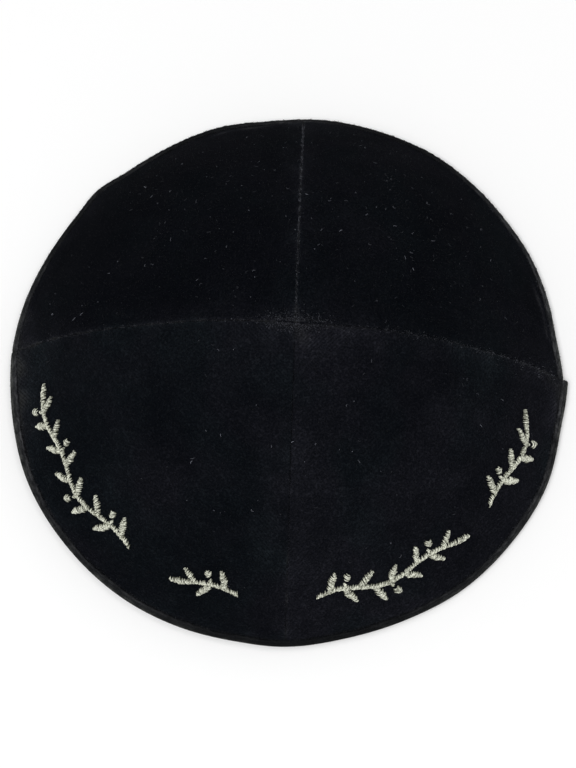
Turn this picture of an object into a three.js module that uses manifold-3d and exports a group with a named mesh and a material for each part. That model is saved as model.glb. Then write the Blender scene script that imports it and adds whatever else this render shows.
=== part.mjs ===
// A four-panel velvet skullcap, crown up, standing on its bound rim.
// Millimetres, +Z up, the front towards -Y, the origin on the standing surface under the cap's middle.
// Azimuths are in degrees seen from above, counter-clockwise from +X, so the front seam is near 270.
import * as THREE from "three";
import { mergeVertices } from "three/addons/utils/BufferGeometryUtils.js";
import Module from "manifold-3d";

const wasm = await Module();
wasm.setup();

// Driving dimensions of the cap
const capWidth = 180;
const capDepth = 178.2;
const capHeight = 54.5;
const crownOffsetX = 2.2;
const bowlShare = 0.94;
const shoulderPower = 8;
const panelSink = 1.4;

// Driving dimensions of the cloth
const clothThickness = 1.8;
const clothAtRim = 1.2;
const bindingCloth = 0.6;
const gap = 0.3;

// Driving dimensions of the embroidery
const motifReach = 0.868;
const motifLift = 0.38;
const motifThickness = 0.7;

// Where each seam meets the rim. The first row comes again a turn later, to close the last panel.
const seams = [
  { side: "right", azimuth: 0.7 },
  { side: "back", azimuth: 89.2 },
  { side: "left", azimuth: 178.5 },
  { side: "front", azimuth: 272.2 },
  { side: "right", azimuth: 360.7 },
];

// How far the hand-sewn rim stands out of a true ellipse.
const backRim = [
  { azimuth: 0.7, out: -0.5 },
  { azimuth: 10, out: -1.5 },
  { azimuth: 18, out: -0.95 },
  { azimuth: 28, out: -0.2 },
  { azimuth: 40, out: 0.1 },
  { azimuth: 52, out: 0.9 },
  { azimuth: 60, out: 1.25 },
  { azimuth: 72, out: 0.9 },
  { azimuth: 85, out: 0.5 },
  { azimuth: 97, out: -0.5 },
  { azimuth: 108, out: 0 },
  { azimuth: 122, out: -0.95 },
  { azimuth: 131, out: -1.05 },
  { azimuth: 138, out: 0.2 },
  { azimuth: 145, out: -0.8 },
  { azimuth: 155, out: -0.95 },
  { azimuth: 168, out: -0.25 },
  { azimuth: 178.5, out: 0.2 },
];
const frontRim = [
  { azimuth: 178.5, out: 0.3 },
  { azimuth: 186, out: 0.1 },
  { azimuth: 194, out: 0.25 },
  { azimuth: 206, out: 0.9 },
  { azimuth: 221, out: 0.75 },
  { azimuth: 238, out: 0.7 },
  { azimuth: 250, out: 0.2 },
  { azimuth: 262, out: -0.45 },
  { azimuth: 272, out: -0.25 },
  { azimuth: 285, out: -1.05 },
  { azimuth: 298, out: -0.7 },
  { azimuth: 310, out: 0.3 },
  { azimuth: 324, out: 0.6 },
  { azimuth: 338, out: 1 },
  { azimuth: 350, out: 0 },
  { azimuth: 356, out: 0.5 },
  { azimuth: 360.7, out: 1.05 },
];

// How far up the outside the binding's fold reaches: widest at the left of the front, narrow at the back.
const lipWidth = [
  { azimuth: 0.7, out: 2 },
  { azimuth: 40, out: 1.7 },
  { azimuth: 90, out: 1.6 },
  { azimuth: 140, out: 1.8 },
  { azimuth: 178.5, out: 2.2 },
  { azimuth: 190, out: 3.3 },
  { azimuth: 210, out: 2.7 },
  { azimuth: 235, out: 2.4 },
  { azimuth: 262, out: 1.7 },
  { azimuth: 290, out: 1.5 },
  { azimuth: 320, out: 1.9 },
  { azimuth: 345, out: 2.2 },
  { azimuth: 360.7, out: 2.6 },
];
const innerLip = 1.8;
const bindings = [
  { name: "back_binding", rim: backRim, from: 0, to: 2 },
  { name: "front_binding", rim: frontRim, from: 2, to: 4 },
];

const panels = [
  { name: "back_right_panel", rim: backRim, from: 0, to: 1 },
  { name: "back_left_panel", rim: backRim, from: 1, to: 2 },
  { name: "front_left_panel", rim: frontRim, from: 2, to: 3 },
  { name: "front_right_panel", rim: frontRim, from: 3, to: 4 },
];

// The embroidered branches, each from its base to its tip along the front rim, clear of the seams.
const branches = [
  { name: "embroidered_branch_1", base: 261, tip: 243.5 },
  { name: "embroidered_branch_2", base: 233.5, tip: 187.5 },
  { name: "embroidered_branch_3", base: 279, tip: 319 },
  { name: "embroidered_branch_4", base: 325.5, tip: 351.5 },
];
const stem = { halfWidth: 0.7, sway: 1.6, swayLength: 30, step: 2.6 };
const leaf = { length: 7.4, width: 2.6, lean: 55, pitch: 4.8, first: 4, clear: 1.4, taper: 0.2 };
const lastLeaf = { back: 0.8, scale: 0.9 };
const berry = { radius: 1.2, stalk: 4.1, stalkHalf: 0.4, lean: 70, every: 3 };

const velvet = { color: 0x0b0c10, roughness: 0.95, metalness: 0 };
const bindingTape = { color: 0x1d1e20, roughness: 0.85, metalness: 0 };
const silverThread = { color: 0xb9b7a8, roughness: 0.4, metalness: 0.35 };

const radians = THREE.MathUtils.degToRad;

// A smooth curve through a table's rows, by cubic Hermite pieces with slopes taken across each row.
function tableValue(rows, azimuth) {
  const x = THREE.MathUtils.clamp(azimuth, rows[0].azimuth, rows.at(-1).azimuth);
  const i = Math.min(rows.findIndex((row, k) => k > 0 && x <= row.azimuth), rows.length - 1);
  const [a, b] = [rows[i - 1], rows[i]];
  const before = rows[Math.max(i - 2, 0)];
  const after = rows[Math.min(i + 1, rows.length - 1)];
  const span = b.azimuth - a.azimuth;
  const slopeA = ((b.out - before.out) / (b.azimuth - before.azimuth)) * span;
  const slopeB = ((after.out - a.out) / (after.azimuth - a.azimuth)) * span;
  const t = (x - a.azimuth) / span;
  const [t2, t3] = [t * t, t * t * t];
  return (
    (2 * t3 - 3 * t2 + 1) * a.out +
    (t3 - 2 * t2 + t) * slopeA +
    (3 * t2 - 2 * t3) * b.out +
    (t3 - t2) * slopeB
  );
}

// The binding's outermost point in plan, which is the cap's outline from above.
function rimReach(rim, azimuth) {
  const a = radians(azimuth);
  const ellipse = 1 / Math.hypot(Math.cos(a) / (capWidth / 2), Math.sin(a) / (capDepth / 2));
  return ellipse + tableValue(rim, azimuth);
}

// Where the panel's edge sits in the binding's fold: in from the outline, and up from the standing surface.
const edgeInset = gap + bindingCloth;
const edgeHeight = 1.7;

// A point of the panels' outer face. reach runs from 0 at the crown to 1 at the panel's edge.
function capPoint(rim, azimuth, reach) {
  const a = radians(azimuth);
  const edgeRadius = rimReach(rim, azimuth) - edgeInset;
  const x = crownOffsetX + reach * (edgeRadius * Math.cos(a) - crownOffsetX);
  const y = reach * edgeRadius * Math.sin(a);
  const fall = bowlShare * reach ** 2 + (1 - bowlShare) * reach ** shoulderPower;
  const k = seams.findIndex((seam, i) => i > 0 && azimuth <= seam.azimuth + 1e-9);
  const [start, end] = [seams[Math.max(k, 1) - 1].azimuth, seams[Math.max(k, 1)].azimuth];
  const across = THREE.MathUtils.clamp((2 * (azimuth - start)) / (end - start) - 1, -1, 1);
  const sink = panelSink * Math.sin(Math.PI * Math.min(reach, 1)) ** 1.2 * (1 - Math.abs(across) ** 1.5);
  const z = edgeHeight + (capHeight - edgeHeight) * (1 - fall) - sink;
  return new THREE.Vector3(x, y, z);
}

// The outward normal there, from small steps along and across the panel.
function capNormal(rim, azimuth, reach) {
  const [stepAzimuth, stepReach] = [0.4, 0.004];
  const near = Math.max(reach, 0.02);
  const along = capPoint(rim, azimuth, near + stepReach).sub(capPoint(rim, azimuth, near - stepReach));
  const across = capPoint(rim, azimuth + stepAzimuth, near).sub(capPoint(rim, azimuth - stepAzimuth, near));
  return along.cross(across).normalize();
}

// A geometry from its points and from triangles that name three of them each, counter-clockwise from outside.
function geometryOf(points, triangles) {
  const geometry = new THREE.BufferGeometry();
  geometry.setAttribute("position", new THREE.Float32BufferAttribute(points.flatMap((p) => p.toArray()), 3));
  geometry.setIndex(triangles.flat());
  return geometry;
}

function part(name, geometry, finish) {
  const flat = geometry.toNonIndexed();
  flat.computeVertexNormals();
  const mesh = new THREE.Mesh(flat, new THREE.MeshStandardMaterial(finish));
  mesh.name = name;
  return mesh;
}

// Rows of a panel, close together at the rim, where the cloth thins under the binding.
const panelRows = [0.09, 0.2, 0.31, 0.42, 0.53, 0.64, 0.74, 0.83, 0.905, 0.955, 0.981, 1];
const panelColumns = 15;
const [thinFrom, thinTo] = [panelRows.at(-3), panelRows.at(-2)];

function wallAt(reach) {
  const thinned = THREE.MathUtils.smoothstep(reach, thinFrom, thinTo);
  return THREE.MathUtils.lerp(clothThickness, clothAtRim, thinned);
}

// The horizontal direction square to a seam, pointing to higher azimuths.
function seamSide(rim, seam) {
  const edge = capPoint(rim, seam.azimuth, 1);
  return new THREE.Vector3(-edge.y, edge.x - crownOffsetX, 0).normalize();
}

function velvetPanel({ name, rim, from, to }) {
  const [start, end] = [seams[from], seams[to]];
  const sides = [seamSide(rim, start), seamSide(rim, end).negate()];
  const [outer, inner] = [[], []];
  for (const reach of panelRows) {
    for (let j = 0; j <= panelColumns; j++) {
      const azimuth = THREE.MathUtils.lerp(start.azimuth, end.azimuth, j / panelColumns);
      const p = capPoint(rim, azimuth, reach);
      const inward = capNormal(rim, azimuth, reach).multiplyScalar(-wallAt(reach));
      const side = j === 0 ? sides[0] : j === panelColumns ? sides[1] : null;
      if (side) {
        p.addScaledVector(side, gap / 2);
        inward.addScaledVector(side, -inward.dot(side));
      }
      outer.push(p);
      inner.push(p.clone().add(inward));
    }
  }
  // The tip at the crown is where the two shifted seam edges cross.
  const cosine = sides[0].dot(sides[1]);
  const tip = capPoint(rim, start.azimuth, 0);
  tip.addScaledVector(sides[0], gap / 2 / (1 + cosine)).addScaledVector(sides[1], gap / 2 / (1 + cosine));
  const innerTip = tip.clone().setZ(tip.z - clothThickness);

  const columns = panelColumns + 1;
  const count = panelRows.length * columns;
  const [tipIndex, innerTipIndex] = [2 * count, 2 * count + 1];
  const triangles = [];
  for (let j = 0; j < panelColumns; j++) {
    triangles.push([tipIndex, j, j + 1], [innerTipIndex, count + j + 1, count + j]);
    const edge = count - columns + j;
    triangles.push([edge, edge + count, edge + 1], [edge + 1, edge + count, edge + count + 1]);
  }
  for (let i = 0; i + 1 < panelRows.length; i++) {
    for (let j = 0; j < panelColumns; j++) {
      const a = i * columns + j;
      const [b, c, d] = [a + 1, a + columns, a + columns + 1];
      triangles.push([a, c, b], [b, c, d]);
      triangles.push([a + count, b + count, c + count], [b + count, d + count, c + count]);
    }
    const [low, high] = [i * columns, i * columns + panelColumns];
    const [lowNext, highNext] = [low + columns, high + columns];
    triangles.push([low, low + count, lowNext], [lowNext, low + count, lowNext + count]);
    triangles.push([high, highNext, high + count], [highNext, highNext + count, high + count]);
  }
  const last = panelColumns;
  triangles.push([tipIndex, innerTipIndex, 0], [0, innerTipIndex, count]);
  triangles.push([tipIndex, last, innerTipIndex], [last, last + count, innerTipIndex]);
  return part(name, geometryOf([...outer, ...inner, tip, innerTip], triangles), velvet);
}

// The folded binding's section. Its points are along the cloth from the panel's edge and out from the panel's
// outer face, apart from the foot, which is in from the panel's edge and flat on the standing surface.
function bindingSection(outerLip) {
  const inside = -clothAtRim - gap;
  return [
    { along: outerLip, out: gap },
    { along: -gap, out: gap },
    { along: -gap, out: inside },
    { along: innerLip, out: inside },
    { along: innerLip + 0.15, out: inside - bindingCloth / 2 },
    { along: innerLip, out: inside - bindingCloth },
    { along: 0.2, out: inside - bindingCloth },
    { footIn: 1.4, footUp: 0 },
    { footIn: 0.35, footUp: 0 },
    { footIn: -0.35, footUp: 0.45 },
    { footIn: -0.8, footUp: 1.15 },
    { along: -gap, out: gap + bindingCloth },
    { along: outerLip, out: gap + bindingCloth },
    { along: outerLip + 0.15, out: gap + bindingCloth / 2 },
  ];
}

const bindingStepDegrees = 6;

function rimBinding({ name, rim, from, to }) {
  const [start, end] = [seams[from].azimuth, seams[to].azimuth];
  const steps = Math.round((end - start) / bindingStepDegrees);
  const n = bindingSection(0).length;
  const points = [];
  for (let i = 0; i <= steps; i++) {
    const azimuth = THREE.MathUtils.lerp(start, end, i / steps);
    const edge = capPoint(rim, azimuth, 1);
    const rimwards = capPoint(rim, azimuth + 0.3, 1).sub(capPoint(rim, azimuth - 0.3, 1)).normalize();
    const out = new THREE.Vector3(rimwards.y, -rimwards.x, 0);
    const upCloth = capPoint(rim, azimuth, 0.985).sub(edge);
    upCloth.addScaledVector(rimwards, -upCloth.dot(rimwards)).normalize();
    const off = new THREE.Vector3().crossVectors(upCloth, rimwards).normalize().negate();
    if (off.dot(out) < 0) off.negate();
    const endGap = i === 0 ? gap / 2 : i === steps ? -gap / 2 : 0;
    for (const row of bindingSection(tableValue(lipWidth, azimuth))) {
      const p = edge.clone().addScaledVector(rimwards, endGap);
      if (row.footIn === undefined) p.addScaledVector(upCloth, row.along).addScaledVector(off, row.out);
      else p.addScaledVector(out, -row.footIn).setZ(row.footUp);
      points.push(p);
    }
  }
  const triangles = [];
  for (let i = 0; i < steps; i++) {
    for (let j = 0; j < n; j++) {
      const [a, b] = [i * n + j, i * n + ((j + 1) % n)];
      triangles.push([a, a + n, b], [b, a + n, b + n]);
    }
  }
  // Both ends are closed by the section itself, cut into triangles in its own plane.
  const flat = points.slice(0, n).map((p) => new THREE.Vector2(Math.hypot(p.x, p.y), p.z));
  const cap = THREE.ShapeUtils.triangulateShape(flat, []);
  for (const [a, b, c] of cap) {
    triangles.push([a, b, c], [a + steps * n, c + steps * n, b + steps * n]);
  }
  return part(name, geometryOf(points, triangles), bindingTape);
}

// The stem's middle line in a branch's own plane: u runs from base to tip and v uphill.
function stemMiddle(u) {
  const turn = (2 * Math.PI * u) / stem.swayLength;
  const slope = ((2 * Math.PI * stem.sway) / stem.swayLength) * Math.cos(turn);
  return { v: stem.sway * Math.sin(turn), lean: Math.atan(slope) };
}

// A pointed leaf outline from its base, at an angle from the branch's own direction.
function leafOutline(u, v, angle, scale) {
  const stations = [0.08, 0.26, 0.48, 0.7, 0.88];
  const [length, half] = [leaf.length * scale, (leaf.width * scale) / 2];
  const swell = (t) => half * Math.sin(Math.PI * t ** 0.9) ** 0.6;
  const right = stations.map((t) => new THREE.Vector2(t * length, -swell(t)));
  const left = [...stations].reverse().map((t) => new THREE.Vector2(t * length, swell(t)));
  const outline = [new THREE.Vector2(0, 0), ...right, new THREE.Vector2(length, 0), ...left];
  return outline.map((p) => p.rotateAround(new THREE.Vector2(), angle).add(new THREE.Vector2(u, v)));
}

// A round berry on a short stalk, whose two sides start on the stem.
function berryOutline(u, v, angle) {
  const [sides, open] = [8, 0.4];
  const round = Array.from({ length: sides }, (_, i) => {
    const turn = (Math.PI - open) * ((2 * i) / (sides - 1) - 1);
    return new THREE.Vector2(berry.stalk + berry.radius * Math.cos(turn), berry.radius * Math.sin(turn));
  });
  const outline = [new THREE.Vector2(0, berry.stalkHalf), new THREE.Vector2(0, -berry.stalkHalf), ...round];
  return outline.map((p) => p.rotateAround(new THREE.Vector2(), angle).add(new THREE.Vector2(u, v)));
}

function stemOutline(length) {
  const steps = Math.ceil(length / stem.step);
  const line = Array.from({ length: steps + 1 }, (_, i) => (length * i) / steps);
  const side = (sign) => line.map((u) => new THREE.Vector2(u, stemMiddle(u).v + sign * stem.halfWidth));
  return [...side(-1), ...side(1).reverse()];
}

// All outlines of a branch: the stem, leaves on alternate sides that grow smaller towards the tip,
// a berry facing every third leaf, and a last leaf.
function branchOutlines(length) {
  const outlines = [stemOutline(length)];
  for (let i = 0; leaf.first + i * leaf.pitch < length - leaf.clear; i++) {
    const u = leaf.first + i * leaf.pitch;
    const { v, lean } = stemMiddle(u);
    const side = i % 2 ? -1 : 1;
    outlines.push(leafOutline(u, v, lean + side * radians(leaf.lean), 1 - (leaf.taper * u) / length));
    if (i % berry.every === 1) outlines.push(berryOutline(u, v, lean - side * radians(berry.lean)));
  }
  const { v, lean } = stemMiddle(length);
  outlines.push(leafOutline(length - lastLeaf.back, v, lean, lastLeaf.scale));
  return outlines;
}

function solidOf(geometry) {
  geometry.deleteAttribute("normal");
  geometry.deleteAttribute("uv");
  const merged = mergeVertices(geometry, 1e-4);
  const vertProperties = new Float32Array(merged.attributes.position.array);
  const triVerts = new Uint32Array(merged.index.array);
  return new wasm.Manifold(new wasm.Mesh({ numProp: 3, vertProperties, triVerts }));
}

// A branch is its outlines raised and joined into one flat pad, which is then laid on the cloth at its place.
function embroideredBranch({ name, base, tip }) {
  const middle = capPoint(frontRim, (base + tip) / 2, motifReach);
  const radius = Math.hypot(middle.x, middle.y);
  const direction = Math.sign(tip - base);
  const length = radius * radians(Math.abs(tip - base)) - leaf.length;
  const probe = 0.01;
  const uphill = capPoint(frontRim, (base + tip) / 2, motifReach - probe).distanceTo(middle) / probe;
  const pads = branchOutlines(length).map((outline) => {
    const shape = new THREE.Shape(outline.map((p) => new THREE.Vector2(direction * p.x, p.y)));
    return solidOf(new THREE.ExtrudeGeometry(shape, { depth: motifThickness, bevelEnabled: false }));
  });
  const joined = pads.reduce((sum, pad) => sum.add(pad)).getMesh();
  const points = [];
  for (let i = 0; i < joined.numVert; i++) {
    const [u, v, w] = joined.vertProperties.slice(joined.numProp * i, joined.numProp * i + 3);
    const azimuth = base + THREE.MathUtils.radToDeg(u / radius);
    const reach = motifReach - v / uphill;
    const outward = capNormal(frontRim, azimuth, reach).multiplyScalar(motifLift + w);
    points.push(capPoint(frontRim, azimuth, reach).add(outward));
  }
  const triangles = [];
  for (let i = 0; i < joined.numTri; i++) triangles.push([...joined.triVerts.slice(3 * i, 3 * i + 3)]);
  return part(name, geometryOf(points, triangles), silverThread);
}

const cap = new THREE.Group();
for (const panel of panels) cap.add(velvetPanel(panel));
for (const binding of bindings) cap.add(rimBinding(binding));
for (const branch of branches) cap.add(embroideredBranch(branch));

export default cap;
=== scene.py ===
import bpy
import numpy as np
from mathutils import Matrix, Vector


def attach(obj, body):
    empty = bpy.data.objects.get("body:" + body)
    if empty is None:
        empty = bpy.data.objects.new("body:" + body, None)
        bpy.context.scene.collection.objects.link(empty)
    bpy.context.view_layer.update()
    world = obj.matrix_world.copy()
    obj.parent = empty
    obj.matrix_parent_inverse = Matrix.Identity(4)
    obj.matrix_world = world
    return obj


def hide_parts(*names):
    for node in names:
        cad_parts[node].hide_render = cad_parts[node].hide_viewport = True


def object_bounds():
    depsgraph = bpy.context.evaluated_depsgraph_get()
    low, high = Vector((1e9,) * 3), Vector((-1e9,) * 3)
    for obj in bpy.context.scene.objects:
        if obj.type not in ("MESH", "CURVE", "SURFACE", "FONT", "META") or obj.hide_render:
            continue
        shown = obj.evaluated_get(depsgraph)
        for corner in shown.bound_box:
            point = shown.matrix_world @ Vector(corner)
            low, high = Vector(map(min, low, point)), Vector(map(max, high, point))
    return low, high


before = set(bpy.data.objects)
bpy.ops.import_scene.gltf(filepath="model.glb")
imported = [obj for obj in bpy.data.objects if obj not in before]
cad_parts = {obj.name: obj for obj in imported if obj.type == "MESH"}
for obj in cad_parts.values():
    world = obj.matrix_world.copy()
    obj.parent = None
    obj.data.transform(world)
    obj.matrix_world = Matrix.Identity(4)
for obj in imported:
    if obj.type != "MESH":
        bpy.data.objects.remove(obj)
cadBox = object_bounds()

# A black velvet skullcap of four gores, standing on its bound rim with its embroidered front towards -Y.
# Lengths are in millimetres until a mesh is made, and azimuths in degrees from +X, seen from above.
mm = 0.001

cap = {
    "width": 180,
    "depth": 178.2,
    "height": cadBox[1].z / mm,
    "crownX": 2.2,          # the crown sits a little to the right of the middle
    "bowlShare": 0.94,      # the rest of the fall is in the steeper shoulder
    "shoulderPower": 8,
    "sink": 1.4,            # how far a gore's middle lies under the round dome
    "edgeInset": 0.9,       # from the binding's outside to the velvet's edge
    "edgeHeight": 1.7,
    "wall": 1.6,
    "wallAtRim": 1.0,
}
seamAt = {"right": 0.7, "back": 89.2, "left": 178.5, "front": 272.2, "rightAgain": 360.7}

# How far the hand-sewn rim stands out of a true ellipse: azimuth, millimetres
backRim = np.array([
    (0.7, -0.5), (10, -1.5), (18, -0.95), (28, -0.2), (40, 0.1), (52, 0.9), (60, 1.25), (72, 0.9), (85, 0.5),
    (97, -0.5), (108, 0), (122, -0.95), (131, -1.05), (138, 0.2), (145, -0.8), (155, -0.95), (168, -0.25),
    (178.5, 0.2),
])
frontRim = np.array([
    (178.5, 0.3), (186, 0.1), (194, 0.25), (206, 0.9), (221, 0.75), (238, 0.7), (250, 0.2), (262, -0.45),
    (272, -0.25), (285, -1.05), (298, -0.7), (310, 0.3), (324, 0.6), (338, 1), (350, 0), (356, 0.5),
    (360.7, 1.05),
])


# A smooth curve through a table's rows: cubic Hermite pieces, whose slopes come from each row's neighbours.
def tableCurve(table, azimuth):
    x, y = table[:, 0], table[:, 1]
    at = np.clip(azimuth, x[0], x[-1])
    index = np.arange(len(x))
    before, after = np.maximum(index - 1, 0), np.minimum(index + 1, len(x) - 1)
    slope = (y[after] - y[before]) / (x[after] - x[before])
    i = np.clip(np.searchsorted(x, at, side="left"), 1, len(x) - 1)
    span = x[i] - x[i - 1]
    t = (at - x[i - 1]) / span
    risingA = (t**3 - 2 * t**2 + t) * slope[i - 1] * span
    risingB = (t**3 - t**2) * slope[i] * span
    return (2 * t**3 - 3 * t**2 + 1) * y[i - 1] + risingA + (3 * t**2 - 2 * t**3) * y[i] + risingB


# smooth(a, b, x) goes from 0 at a to 1 at b as 3t^2 - 2t^3.
def smooth(a, b, x):
    t = np.clip((x - a) / (b - a), 0, 1)
    return t * t * (3 - 2 * t)


# A vector divided by its length.
def unit(v):
    return v / np.maximum(np.linalg.norm(v, axis=-1, keepdims=True), 1e-12)


# The cap's outline seen from above: an ellipse's radius plus the rim table.
def rimReach(rim, azimuth):
    a = np.radians(azimuth)
    ellipse = 1 / np.hypot(np.cos(a) / (cap["width"] / 2), np.sin(a) / (cap["depth"] / 2))
    return ellipse + tableCurve(rim, azimuth)


# Named rows of values, as dictionaries under shared headings.
def underHeadings(headings, rows):
    return {name: dict(zip(headings.split(), row)) for name, row in rows.items()}


# A gore: the rim table that it follows, the seams that it lies between, how light its nap lies, which is
# painted sheen that makes the front gores lighter and painted shade that makes the back ones darker, how
# uneven its grain is, how much bluer it is than plum, and its bits of lint.
gores = underHeadings("rim seams tone grain blue lint", {
    "back_right": (backRim, ("right", "back"), 0.118, 0.85, -0.05, 150),
    "back_left": (backRim, ("back", "left"), 0.07, 1.2, -0.06, 160),
    "front_left": (frontRim, ("left", "front"), 0.19, 0.66, 0.05, 26),
    "front_right": (frontRim, ("front", "rightAgain"), 0.255, 0.66, -0.08, 50),
})


# The azimuths of a gore's two seams.
def goreSpan(gore):
    return [seamAt[seam] for seam in gore["seams"]]


# The plain dome: from the crown (reach 0) to the velvet's edge (reach 1), the plan goes straight from the
# crown to the rim, and z falls by 0.94 reach^2 + 0.06 reach^8 of the height, less the gore's own sink.
def domePoint(gore, azimuth, reach):
    a = np.radians(azimuth)
    radius = rimReach(gore["rim"], azimuth) - cap["edgeInset"]
    x = cap["crownX"] + reach * (radius * np.cos(a) - cap["crownX"])
    y = reach * radius * np.sin(a)
    fall = cap["bowlShare"] * reach**2 + (1 - cap["bowlShare"]) * reach ** cap["shoulderPower"]
    start, end = goreSpan(gore)
    across = np.clip(2 * (azimuth - start) / (end - start) - 1, -1, 1)
    within = np.clip(reach, 0, 1)
    sink = cap["sink"] * np.sin(np.pi * within) ** 1.2 * (1 - np.abs(across) ** 1.5)
    z = cap["edgeHeight"] + (cap["height"] - cap["edgeHeight"]) * (1 - fall) - sink
    return np.stack(np.broadcast_arrays(x, y, z), axis=-1)


# The dome's outward normal, from small steps down the dome and round it.
def domeNormal(gore, azimuth, reach):
    near = np.maximum(reach, 0.02)
    down = domePoint(gore, azimuth, near + 0.004) - domePoint(gore, azimuth, near - 0.004)
    around = domePoint(gore, azimuth + 0.4, near) - domePoint(gore, azimuth - 0.4, near)
    return unit(np.cross(down, around))


# Soft lumps: a sum of plane waves of random direction and phase, each of amplitude 1 / sqrt(count).
def lumps(points, wavelength, seed, count=9):
    rng = np.random.default_rng(seed)
    turn = rng.uniform(0, 2 * np.pi, count)
    number = 2 * np.pi / (wavelength * rng.uniform(0.7, 1.5, count))
    phase = rng.uniform(0, 2 * np.pi, count)
    x, y = points[..., 0, None], points[..., 1, None]
    waves = x * np.cos(turn) * number + y * np.sin(turn) * number + phase
    return np.cos(waves).sum(axis=-1) / np.sqrt(count)


cloth = {
    "grooveWidth": 0.6,      # the rounded shoulder on each side of a seam
    "grooveDepth": 0.5,
    "stitch": 3.1,           # one machine stitch
    "pucker": 0.11,
    "puckerReach": 1.5,
    "drag": 0.12,            # faint slanting drag lines beside a seam
    "dragPitch": 8.5,
    "dragReach": 4.5,
    "allowance": 6.5,        # the seam allowance that lies pressed open underneath
    "allowanceRise": 0.3,
    "sway": 0.32,            # the cloth's own soft unevenness
    "tuck": 0.28,            # how far the binding presses the velvet in
    "hollow": 0.28,          # how deep the embroidery pulls the velvet
    "slopeLength": 152,      # millimetres of cloth for one whole reach, at the rim
    "planLength": 88,        # and millimetres seen from above
    "ridge": 0.12,           # a low swelling above the binding
    "ridgeUp": 2.4,
    "ridgeWidth": 1.5,
}


# Where a seam meets the velvet's edge, seen from the crown.
def seamEdge(gore, seam):
    return domePoint(gore, np.array(float(seam)), np.array(1.0)) - (cap["crownX"], 0, 0)


# Distances over a gore's cloth: to its two seams, along them from the crown, and up from its lower edge.
def goreDistances(gore, azimuth, reach):
    flat = domePoint(gore, azimuth, reach)[..., :2] - (cap["crownX"], 0)
    far = np.hypot(flat[..., 0], flat[..., 1])
    aside = []
    for seam in goreSpan(gore):
        edge = seamEdge(gore, seam)[:2]
        line = edge / np.hypot(*edge)
        aside.append((np.abs(flat[..., 0] * line[1] - flat[..., 1] * line[0]), flat @ line))
    return aside, far, cloth["slopeLength"] * (1 - reach)


# The embroidery is four branches along the front rim: the azimuths of each one's base and tip.
branches = underHeadings("gore base tip", {
    "embroidered_branch_1": ("front_left", 261, 243.5),
    "embroidered_branch_2": ("front_left", 233.5, 187.5),
    "embroidered_branch_3": ("front_right", 279, 319),
    "embroidered_branch_4": ("front_right", 325.5, 351.5),
})
stem = {"halfWidth": 0.7, "sway": 1.6, "swayLength": 30, "reach": 0.868}
leaf = {"length": 7.4, "width": 2.6, "lean": 55, "pitch": 4.8, "first": 4, "clear": 1.4, "taper": 0.2}
lastLeaf = {"back": 0.8, "scale": 0.9}
berry = {"radius": 1.2, "stalk": 4.1, "lean": 70, "every": 3}


# The stem's middle line in a branch's own plane, where u runs from base to tip and v uphill.
def stemMiddle(u):
    turn = 2 * np.pi * u / stem["swayLength"]
    slope = 2 * np.pi * stem["sway"] / stem["swayLength"] * np.cos(turn)
    return stem["sway"] * np.sin(turn), np.arctan(slope)


# A branch's plane on the cap: its arc's radius and direction, the cloth's length for one reach, and its
# strokes, which are leaves on alternate sides, a berry facing every third leaf, and a last leaf at the tip.
def branchPlan(gore, base, tip):
    middle, above = (domePoint(gore, (base + tip) / 2, stem["reach"] - step) for step in (0, 0.01))
    radius = np.hypot(middle[0], middle[1])
    length = radius * np.radians(abs(tip - base)) - leaf["length"]
    strokes = []
    for i, u in enumerate(np.arange(leaf["first"], length - leaf["clear"], leaf["pitch"])):
        v, lean = stemMiddle(u)
        side = -1 if i % 2 else 1
        angle = lean + side * np.radians(leaf["lean"])
        scale = 1 - leaf["taper"] * u / length
        strokes.append({"kind": "leaf", "u": u, "v": v, "angle": angle, "scale": scale})
        if i % berry["every"] == 1:
            angle = lean - side * np.radians(berry["lean"])
            strokes.append({"kind": "berry", "u": u, "v": v, "angle": angle, "scale": 1})
    v, lean = stemMiddle(length)
    scale = lastLeaf["scale"]
    strokes.append({"kind": "leaf", "u": length - lastLeaf["back"], "v": v, "angle": lean, "scale": scale})
    uphill = np.linalg.norm(above - middle) / 0.01
    plan = {"radius": radius, "way": np.sign(tip - base), "uphill": uphill}
    return plan | {"length": length, "strokes": strokes}


for branch in branches.values():
    branch["plan"] = branchPlan(gores[branch["gore"]], branch["base"], branch["tip"])


# How near each point of a gore is to its embroidery: 1 on a stroke, falling to 0 about 2 mm outside it.
def nearEmbroidery(gore, azimuth, reach):
    near = np.zeros(np.shape(reach))
    for branch in branches.values():
        if gores[branch["gore"]] is not gore:
            continue
        plan = branch["plan"]
        u = plan["way"] * np.radians(azimuth - branch["base"]) * plan["radius"]
        v = (stem["reach"] - reach) * plan["uphill"]
        level, lean = stemMiddle(u)
        off = np.hypot(v - level, np.maximum(np.maximum(-u, u - plan["length"]), 0)) - stem["halfWidth"]
        for stroke in plan["strokes"]:
            size = leaf["length"] * stroke["scale"] if stroke["kind"] == "leaf" else berry["stalk"]
            half = leaf["width"] / 2 * stroke["scale"] * 0.85 if stroke["kind"] == "leaf" else berry["radius"]
            du, dv = u - stroke["u"], v - stroke["v"]
            t = np.clip(du * np.cos(stroke["angle"]) + dv * np.sin(stroke["angle"]), half, size)
            gap = np.hypot(du - t * np.cos(stroke["angle"]), dv - t * np.sin(stroke["angle"])) - half
            off = np.minimum(off, gap)
        near = np.maximum(near, 1 - smooth(0, 2.2, off))
    return near


# How far the fold reaches up the outside: azimuth, millimetres
lipWidth = np.array([
    (0.7, 2.0), (15, 1.6), (30, 1.25), (60, 1.3), (90, 1.6), (120, 1.5), (150, 1.6), (165, 1.8), (178.5, 2.2),
    (190, 3.1), (208, 2.4), (222, 1.7), (235, 2.1), (262, 1.6), (290, 1.5), (320, 1.8), (345, 2.1),
    (360.7, 2.5),
])
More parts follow.
